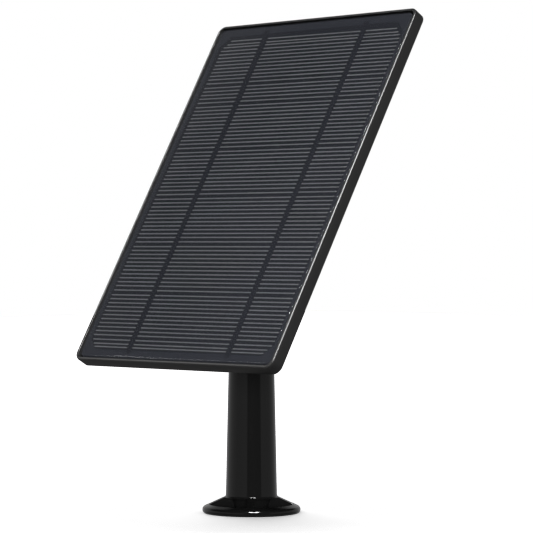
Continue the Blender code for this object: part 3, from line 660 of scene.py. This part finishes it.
class CellSettings(bpy.types.PropertyGroup):
    """Layout of the printed contact lines."""

    lines: IntProperty(name="Lines", description="Contact lines on the cell", default=80, min=3)
    line_width: FloatProperty(
        name="Line width", description="Width of one printed line",
        default=0.00060, unit="LENGTH", precision=5,
    )
    first_line: FloatProperty(
        name="First line", description="Height of the lowest line over the stud",
        default=-0.04000, unit="LENGTH", precision=5,
    )
    pitch: FloatProperty(
        name="Pitch", description="Distance between the lowest lines",
        default=0.002118, unit="LENGTH", precision=6,
    )
    pitch_fall: FloatProperty(
        name="Pitch fall", description="How much closer each line is than the one below it",
        default=0.00000085, unit="LENGTH", precision=8,
    )
    strip_step: FloatProperty(
        name="Strip step", description="Extra gap where two strips of the cell overlap",
        default=0.00046, unit="LENGTH", precision=5,
    )
    left_end: FloatProperty(
        name="Left end", description="Where the lowest lines start",
        default=-0.0602, unit="LENGTH", precision=5,
    )
    left_lean: FloatProperty(
        name="Left lean", description="How far in the highest line starts",
        default=0.0020, unit="LENGTH", precision=5,
    )
    right_end: FloatProperty(
        name="Right end", description="Where the lines end",
        default=0.0608, unit="LENGTH", precision=5,
    )
    gap: FloatProperty(
        name="Gap", description="Gap in the lines at each contact ribbon",
        default=0.0034, unit="LENGTH", precision=5,
    )
    left_gap: FloatProperty(
        name="Left gap", description="Place of the left gap along a line", default=0.2375
    )
    right_gap: FloatProperty(
        name="Right gap", description="Place of the right gap along a line", default=0.7845
    )
    fan_start: FloatProperty(
        name="Lowest slope", description="Slope of the lowest line", default=-0.0021, precision=4
    )
    fan_end: FloatProperty(
        name="Highest slope", description="Slope of the highest line", default=-0.0120, precision=4
    )


class StageSettings(bpy.types.PropertyGroup):
    """Camera, room light and the power of each lamp."""

    focal: FloatProperty(
        name="Focal length", description="Focal length of the long lens, in mm",
        default=165.7, min=20.0, max=400.0,
    )
    camera_place: FloatVectorProperty(
        name="Camera", description="Where the camera stands", subtype="TRANSLATION",
        size=3, default=(0.8153, -0.7762, 0.1167),
    )
    camera_target: FloatVectorProperty(
        name="Target", description="Point that the camera looks at", subtype="TRANSLATION",
        size=3, default=(0.00474, 0.00503, 0.11271),
    )
    room: FloatProperty(
        name="Room light", description="Brightness of the soft light all round",
        default=0.20, min=0.0,
    )
    gap_light: FloatProperty(
        name="Gap light", description="Brightness of the darker gap between the soft boxes",
        default=0.03, min=0.0,
    )
    cove: FloatProperty(
        name="Cove", description="Extra brightness of the wall behind the object",
        default=0.15, min=0.0,
    )
    ceiling: FloatProperty(
        name="Dark ceiling", description="How much darker the light from above is",
        default=1.0, min=0.0, max=1.0,
    )
    key: FloatProperty(
        name="Key lamp", description="Power of the high lamp for the highlights, in watts",
        default=22.0, min=0.0,
    )
    fill: FloatProperty(
        name="Fill lamp", description="Power of the broad lamp ahead of the panel, in watts",
        default=10.0, min=0.0,
    )
    glint: FloatProperty(
        name="Glint lamp", description="Power of the small lamp to the left, in watts",
        default=1.1, min=0.0,
    )
    back: FloatProperty(
        name="Back lamp", description="Power of the broad lamp behind the object, in watts",
        default=24.0, min=0.0,
    )
    low: FloatProperty(
        name="Low lamp", description="Power of the lamp beside the camera, in watts",
        default=6.0, min=0.0,
    )


SETTINGS = {
    "solar_finish": FinishSettings,
    "solar_housing": PanelSettings,
    "solar_cell": CellSettings,
    "solar_flange": FlangeSettings,
    "solar_stage": StageSettings,
}


# ------------------------------------------------------------------ panel pieces


def housing_shell(material, groove_shade_paint, sizes):
    """Tray with a rounded rim, a glass recess and a filleted back; the recess is painted near-black as shade."""
    sheet_back = reach("back_sheet", PANEL_SPACE)[1].y
    front, back = panel_depths()
    outline = extent("panel_housing", PANEL_SPACE)
    shape = plate(Vector((outline.x, back - front, outline.z)), sizes.corner, segments=10)
    centre = middle("panel_housing", PANEL_SPACE)
    half = (back - front) / 2
    face = next(f for f in shape.faces if f.normal.y < -0.9)
    bmesh.ops.inset_region(shape, faces=[face], thickness=sizes.rim, use_even_offset=True)
    seal_depth = extent("laminate_seal", PANEL_SPACE).y
    floor_drop = sheet_back - front + seal_depth + FLOOR_UNDER_SEAL
    made = bmesh.ops.extrude_discrete_faces(shape, faces=[face])
    bmesh.ops.translate(shape, verts=made["faces"][0].verts, vec=(0, floor_drop, 0))
    bmesh.ops.remove_doubles(shape, verts=shape.verts, dist=MERGE)

    def is_rim(edge, depth, outside):
        ends = [vert.co for vert in edge.verts]
        if not all(near(end.y, depth) for end in ends):
            return False
        walls = [f for f in edge.link_faces if abs(f.normal.y) < 0.5]
        if not walls:
            return False
        halfway = (ends[0] + ends[1]) / 2
        away = Vector((halfway.x, 0, halfway.z))
        return (walls[0].normal.dot(away) > 0) == outside

    outer_front = [edge for edge in shape.edges if is_rim(edge, -half, True)]
    inner_front = [edge for edge in shape.edges if is_rim(edge, -half, False)]
    outer_back = [edge for edge in shape.edges if is_rim(edge, half, True)]
    soften(shape, outer_front, sizes.front_round, segments=6)
    soften(shape, outer_back, sizes.back_round, segments=5)
    inner_front = [edge for edge in inner_front if edge.is_valid]
    soften(shape, inner_front, RIM_INNER_EDGE, segments=3)
    inner_x = outline.x / 2 - sizes.rim + MERGE
    inner_z = outline.z / 2 - sizes.rim + MERGE
    # Faces inside the glass recess take the near-black second material: painted shade in the groove round the
    # glass.
    for face in shape.faces:
        spot = face.calc_center_median()
        inside = abs(spot.x) < inner_x and abs(spot.z) < inner_z
        if inside and abs(spot.y) < half - SHADE_PAINT_MARGIN:
            face.material_index = 1
    place = PANEL_SPACE @ Matrix.Translation((0, (front + back) / 2, centre.z))
    shell = finished(
        shape, "housing_shell", material, "panel", place, ("panel_housing",),
        crease=50,
    )
    shell.data.materials.append(groove_shade_paint)
    return shell


def panel_depths():
    """Depths of the housing's front rim and flat back, in the panel's space."""
    low, _ = reach("panel_housing", PANEL_SPACE)
    back = reach("box_seal", PANEL_SPACE)[0].y - BACK_BEFORE_SEAL
    return low.y, back


def glass_sheet(material, sizes):
    """Cover glass with ground edges."""
    size = extent("solar_glass", PANEL_SPACE)
    shape = plate(size, sizes.corner - sizes.rim, segments=8)
    soften(shape, outline_edges(shape, -size.y / 2), GLASS_EDGE, segments=2)
    place = PANEL_SPACE @ Matrix.Translation(middle("solar_glass", PANEL_SPACE))
    return finished(
        shape, "glass_sheet", material, "panel", place, ("solar_glass",), crease=50
    )


def line_strip(shape, start, end, depth, width):
    """One printed line: a flat strip with round ends, a hair thick, between two places."""
    length = (end - start).length
    strip = bmesh.ops.create_cube(
        shape, size=1.0, matrix=Matrix.Diagonal((length, width * LINE_THICKNESS, width, 1.0))
    )["verts"]
    corners = [
        edge
        for edge in {e for vert in strip for e in vert.link_edges}
        if abs(edge.verts[0].co.y - edge.verts[1].co.y) > width * LINE_THICKNESS / 2
    ]
    made = bmesh.ops.bevel(
        shape, geom=corners, offset=width * 0.49, segments=3, profile=0.5, affect="EDGES",
        clamp_overlap=True, material=-1,
    )
    verts = {vert for vert in strip if vert.is_valid} | {v for f in made["faces"] for v in f.verts}
    lean = Matrix.Rotation(-math.atan2(end.y - start.y, end.x - start.x), 4, "Y")
    spot = (start + end) / 2
    place = Matrix.Translation((spot.x, depth, spot.y)) @ lean
    bmesh.ops.transform(shape, matrix=place, verts=list(verts))


def line_heights(layout):
    """Height of each printed line over the stud: the cell is shingled from strips."""
    heights = [layout.first_line]
    for index in range(1, layout.lines):
        step = layout.pitch - layout.pitch_fall * index
        if index in (1, layout.lines - 2):
            step -= layout.strip_step
        if index - 1 in STRIP_ENDS:
            step += layout.strip_step
        if index - 2 in STRIP_ENDS or index == 3:
            step += layout.strip_step / 2
        heights.append(heights[-1] + step)
    return heights


def contact_lines(material, layout):
    """The printed lines of the cell, split at the two ribbons, shorter at its cut corners."""
    cell_low, _ = reach("solar_cell", PANEL_SPACE)
    depth = cell_low.y - layout.line_width * LINE_THICKNESS
    shape = bmesh.new()
    heights = line_heights(layout)
    for index, height in enumerate(heights):
        climb = index / (layout.lines - 1)
        trim = CORNER_TRIMS.get(min(index, layout.lines - 1 - index), 0.0)
        left = layout.left_end + layout.left_lean * climb
        width = layout.right_end - left
        slope = layout.fan_start + (layout.fan_end - layout.fan_start) * climb
        half_gap = layout.gap / 2 / width
        stops = (
            (trim / width, layout.left_gap - half_gap),
            (layout.left_gap + half_gap, layout.right_gap - half_gap),
            (layout.right_gap + half_gap, 1.0 - trim / width),
        )
        for start, end in stops:
            places = [left + width * share for share in (start, end)]
            ends = [Vector((across, height + slope * across)) for across in places]
            line_strip(shape, ends[0], ends[1], depth, layout.line_width)
    return finished(
        shape, "contact_lines", material, "panel", PANEL_SPACE, crease=50
    )


# ------------------------------------------------------------------ operators


def look(name, factory, *values, **named):
    """A material by name, made once."""
    found = bpy.data.materials.get(name)
    return found or factory(name, *values, **named)


def satin(context):
    """Satin plastic of the housing and box."""
    return look(
        "satin_black_plastic", moulded_plastic, context.scene.solar_finish.housing,
        roughness=0.32, grain_size=0.00035, grain_depth=0.00002,
    )


def polished(context):
    """Polished plastic of the post and fork."""
    colour = context.scene.solar_finish.post
    return look("polished_black_plastic", polished_plastic, colour, roughness=0.07)


def steel():
    """Zinc-plated steel of the screws and nuts."""
    return look("zinc_plated_steel", plated_steel, (0.56, 0.57, 0.58))


def brass():
    """Brass of the threaded parts."""
    return look("turned_brass", turned_brass, (0.70, 0.50, 0.22))


def nylon():
    """Natural nylon of washers and the connector."""
    return look("natural_nylon", soft_polymer, (0.62, 0.60, 0.55), roughness=0.5, pores=0.0006)


def rubber():
    """Black rubber of the seals."""
    return look("black_rubber", soft_polymer, (0.018, 0.018, 0.018), roughness=0.75, pores=0.0004)


class SOLAR_OT_laminate(bpy.types.Operator):
    """Make the cover glass, cell, contact lines, ribbons, back sheet and seal"""

    bl_idname = "solar.laminate"
    bl_label = "Solar laminate"

    def execute(self, context):
        finish = context.scene.solar_finish
        sizes = context.scene.solar_housing
        glass_sheet(look("cover_glass", cover_glass, roughness=0.015), sizes)
        contact_lines(
            look("printed_silver", printed_silver, finish.finger), context.scene.solar_cell
        )
        cell = look("cell_coating", wafer, finish.cell, [c * 1.12 for c in finish.cell])
        coat("solar_cell", cell)
        for side in ("left", "right"):
            coat(f"contact_ribbon_{side}", look("ribbon_coating", wafer, finish.cell, finish.cell))
        coat("back_sheet", look("laminate_sheet", laminate_sheet, finish.sheet))
        foam = look("foam_tape", soft_polymer, (0.02, 0.02, 0.02), roughness=0.9, pores=0.0005)
        coat("laminate_seal", foam)
        return {"FINISHED"}


class SOLAR_OT_housing(bpy.types.Operator):
    """Make the filleted housing round the laminate"""

    bl_idname = "solar.housing"
    bl_label = "Housing"

    def execute(self, context):
        # Near-black coat for the recess walls: painted shade in the groove round the glass.
        black = (0.003, 0.003, 0.003)
        groove_shade_paint = look("groove_sealant", soft_polymer, black, roughness=0.9, pores=0.0004)
        housing_shell(satin(context), groove_shade_paint, context.scene.solar_housing)
        return {"FINISHED"}


class SOLAR_OT_rear_box(bpy.types.Operator):
    """Make the controller box with its seal, screws, insert and gland"""

    bl_idname = "solar.rear_box"
    bl_label = "Controller box"

    def execute(self, context):
        dressed("rear_box", "rear_box_shell", satin(context), BOX_EDGE, segments=3)
        coat("box_seal", rubber())
        for index in range(1, 5):
            dressed(f"box_screw_{index}", f"cover_screw_{index}", steel(), FINE_EDGE)
        dressed("mount_insert", "threaded_insert", brass(), SMALL_EDGE)
        dressed("gland_body", "gland_shell", satin(context), FINE_EDGE)
        dressed("gland_cap", "gland_dome", satin(context), FINE_EDGE)
        dressed("gland_nut", "gland_lock_nut", satin(context), FINE_EDGE)
        coat("gland_seal", rubber())
        return {"FINISHED"}


class SOLAR_OT_controller(bpy.types.Operator):
    """Make the charge controller board and its components"""

    bl_idname = "solar.controller"
    bl_label = "Controller board"

    def execute(self, context):
        coat("controller_board", look("solder_mask", solder_mask, (0.012, 0.11, 0.045)))
        for node, finish, colour, roughness in (
            ("charge_inductor", "ferrite", (0.05, 0.05, 0.055), 0.6),
            ("storage_capacitor", "tantalum", (0.6, 0.36, 0.06), 0.45),
            ("lead_positive", "red_insulation", (0.42, 0.02, 0.02), 0.4),
            ("lead_negative", "black_insulation", (0.02, 0.02, 0.02), 0.4),
        ):
            coat(node, look(finish, soft_polymer, colour, roughness=roughness, pores=0.0003))
        epoxy = look(
            "component_epoxy", soft_polymer, (0.022, 0.022, 0.024), roughness=0.5, pores=0.0002
        )
        coat("blocking_diode", epoxy)
        coat("regulator_chip", epoxy)
        coat("output_connector", nylon())
        coat("board_screw_1", steel())
        coat("board_screw_2", steel())
        return {"FINISHED"}


class SOLAR_OT_post(bpy.types.Operator):
    """Make the post with its flange, and what its neck holds"""

    bl_idname = "solar.post"
    bl_label = "Post and flange"

    def execute(self, context):
        flange_post(polished(context), context.scene.solar_flange)
        dark = (0.03, 0.03, 0.032)
        coat("neck_insert", look("dark_acetal", soft_polymer, dark, roughness=0.45, pores=0.0005))
        coat("pan_nut", steel())
        coat("pan_washer", nylon())
        return {"FINISHED"}


class SOLAR_OT_joints(bpy.types.Operator):
    """Make the fork, knuckle, bolts, knob and lock ring"""

    bl_idname = "solar.joints"
    bl_label = "Fork and knuckle"

    def execute(self, context):
        dressed("pan_head", "fork_head", polished(context), FORK_EDGE, segments=3, angle=40)
        dressed("pan_bolt", "clamp_bolt", steel(), FINE_EDGE)
        dressed("pivot_bolt", "pivot_screw", steel(), SMALL_EDGE)
        coat("knob_washer", steel())
        dressed("tilt_knob", "hand_knob", satin(context), SMALL_EDGE, angle=45)
        coat("knob_nut", brass())
        dressed("tilt_knuckle", "knuckle_body", polished(context), FORK_EDGE, segments=3, angle=40)
        coat("knuckle_washer_left", nylon())
        coat("knuckle_washer_right", nylon())
        coat("mount_stud", steel())
        dressed("lock_ring", "thumb_ring", satin(context), FINE_EDGE, angle=45)
        return {"FINISHED"}


class SOLAR_OT_stage(bpy.types.Operator):
    """Make the pale floor, soft studio light and camera"""

    bl_idname = "solar.stage"
    bl_label = "Stage"

    def execute(self, context):
        stage = context.scene.solar_stage
        ground = floor()
        studio_world(stage)
        lamps(stage, ground)
        camera(stage)
        context.scene.view_settings.view_transform = "Standard"
        return {"FINISHED"}


def floor():
    """A wide pale floor that shows only the shadow that falls on it."""
    shape = bmesh.new()
    bmesh.ops.create_grid(shape, x_segments=1, y_segments=1, size=FLOOR_SIZE)
    mesh = bpy.data.meshes.new("floor")
    shape.to_mesh(mesh)
    shape.free()
    ground = bpy.data.objects.new("floor", mesh)
    bpy.context.scene.collection.objects.link(ground)
    ground.is_shadow_catcher = True
    ground.visible_glossy = False

    def varying(recipe):
        mottle = recipe.noise(6.0, detail=2.0, roughness=0.5)
        away = recipe.add(
            "ShaderNodeVectorMath", {"operation": "LENGTH"}, {0: recipe.place()}, output="Value"
        )
        return {
            "Base Color": recipe.blend(mottle, (0.50, 0.50, 0.50, 1), (0.54, 0.54, 0.54, 1)),
            "Alpha": recipe.mapped(away, *SHADOW_FADE, 1.0, SHADOW_AT_EDGE, smooth=True),
        }

    mesh.materials.append(surface("pale_floor", varying, roughness=0.9))
    return ground


def studio_world(stage):
    """Soft light all round with a darker gap ahead of the object, on a white ground."""
    world = bpy.data.worlds.new("studio")
    bpy.context.scene.world = world
    world.use_nodes = True
    recipe = Recipe(world.node_tree)
    direction = recipe.add("ShaderNodeTexCoord", output="Generated")
    ahead = Vector(stage.camera_place) - Vector(stage.camera_target)
    ahead.z = 0.0
    ahead.rotate(Matrix.Rotation(math.radians(GAP_TURN), 3, "Z"))
    ahead.normalize()
    facing = recipe.add(
        "ShaderNodeVectorMath",
        {"operation": "DOT_PRODUCT"},
        {0: direction, 1: ahead},
        output="Value",
    )
    edge = math.cos(math.radians(GAP_HALF_ANGLE))
    in_gap = recipe.mapped(facing, edge - GAP_SOFTNESS, edge + GAP_SOFTNESS)
    height = recipe.add("ShaderNodeSeparateXYZ", None, {0: direction}, output="Z")
    band = recipe.mapped(height, *WALL_TOP, 1.0, 0.0)
    behind = recipe.mapped(facing, *COVE_REACH) * band
    high = recipe.mapped(height, *CEILING_RISE, smooth=True) * recipe.mapped(facing, *CEILING_END)
    below = recipe.mapped(height, *GROUND_FALL)
    walls = stage.room - in_gap * band * (stage.room - stage.gap_light) + behind * stage.cove
    strength = walls * (1.0 - below * GROUND_DIMMING) * (1.0 - high * stage.ceiling)
    soft = recipe.add("ShaderNodeBackground", None, {"Color": (1, 1, 1, 1), "Strength": strength})
    white = recipe.add("ShaderNodeBackground", None, {"Color": (1, 1, 1, 1), "Strength": 1.0})
    seen = recipe.add("ShaderNodeLightPath", output="Is Camera Ray")
    mixed = recipe.add("ShaderNodeMixShader", None, {0: seen, 1: soft, 2: white})
    recipe.node("ShaderNodeOutputWorld", None, {"Surface": mixed})


def lamp(name, place, target, side, power):
    """One soft square lamp."""
    light = bpy.data.lights.new(name, "AREA")
    light.shape = "RECTANGLE"
    light.size = light.size_y = side
    light.energy = power
    holder = bpy.data.objects.new(name, light)
    holder.location = place
    aim = Vector(target) - Vector(place)
    holder.rotation_euler = aim.to_track_quat("-Z", "Y").to_euler()
    bpy.context.scene.collection.objects.link(holder)
    return holder


def lamps(stage, ground):
    """All the lamps. None of them lights the floor, which has the room's light alone."""
    pieces = [item for item in bpy.context.scene.objects if item.type == "MESH" and item != ground]
    lit = {"pieces": pieces, "panel": [item for item in pieces if item.name in PANEL_FACE]}
    for name, (place, target, side, kind, on) in LAMPS.items():
        holder = lamp(f"{name}_lamp", place, target, side, getattr(stage, name))
        holder.visible_diffuse = kind == "soft"
        holder.visible_glossy = kind == "highlights"
        shine_on(holder, lit[on])


def shine_on(holder, pieces):
    """Let a lamp light only the given pieces."""
    lit = bpy.data.collections.new(f"lit_by_{holder.name}")
    for item in pieces:
        lit.objects.link(item)
    holder.light_linking.receiver_collection = lit


def camera(stage):
    """Long lens at nearly the panel's own height."""
    lens = bpy.data.cameras.new("camera")
    lens.lens = stage.focal
    lens.sensor_width = 36.0
    lens.clip_start = 0.01
    holder = bpy.data.objects.new("camera", lens)
    holder.location = stage.camera_place
    aim = Vector(stage.camera_target) - Vector(stage.camera_place)
    holder.rotation_euler = aim.to_track_quat("-Z", "Y").to_euler()
    bpy.context.scene.collection.objects.link(holder)
    bpy.context.scene.camera = holder


class SOLAR_PT_panel(bpy.types.Panel):
    """Lists the steps that build the solar panel."""

    bl_idname = "SOLAR_PT_panel"
    bl_label = "Solar Panel"
    bl_space_type = "VIEW_3D"
    bl_region_type = "UI"
    bl_category = "Solar Panel"

    def draw(self, context):
        for step in STEPS:
            self.layout.operator(step.bl_idname)
        for name, group in SETTINGS.items():
            column = self.layout.column(heading=name)
            for key in group.__annotations__:
                column.prop(getattr(context.scene, name), key)


STEPS = (
    SOLAR_OT_housing,
    SOLAR_OT_laminate,
    SOLAR_OT_rear_box,
    SOLAR_OT_controller,
    SOLAR_OT_post,
    SOLAR_OT_joints,
    SOLAR_OT_stage,
)
CLASSES = (*SETTINGS.values(), *STEPS, SOLAR_PT_panel)


def register():
    """Register the classes and hang the settings on the scene."""
    for item in CLASSES:
        bpy.utils.register_class(item)
    for name, group in SETTINGS.items():
        setattr(bpy.types.Scene, name, PointerProperty(type=group))


def unregister():
    """Undo register."""
    for name in SETTINGS:
        delattr(bpy.types.Scene, name)
    for item in reversed(CLASSES):
        bpy.utils.unregister_class(item)


def main():
    """Build everything."""
    register()
    bpy.ops.solar.housing()
    bpy.ops.solar.laminate()
    bpy.ops.solar.rear_box()
    bpy.ops.solar.controller()
    bpy.ops.solar.post()
    bpy.ops.solar.joints()
    bpy.ops.solar.stage()


if __name__ == "__main__":
    main()
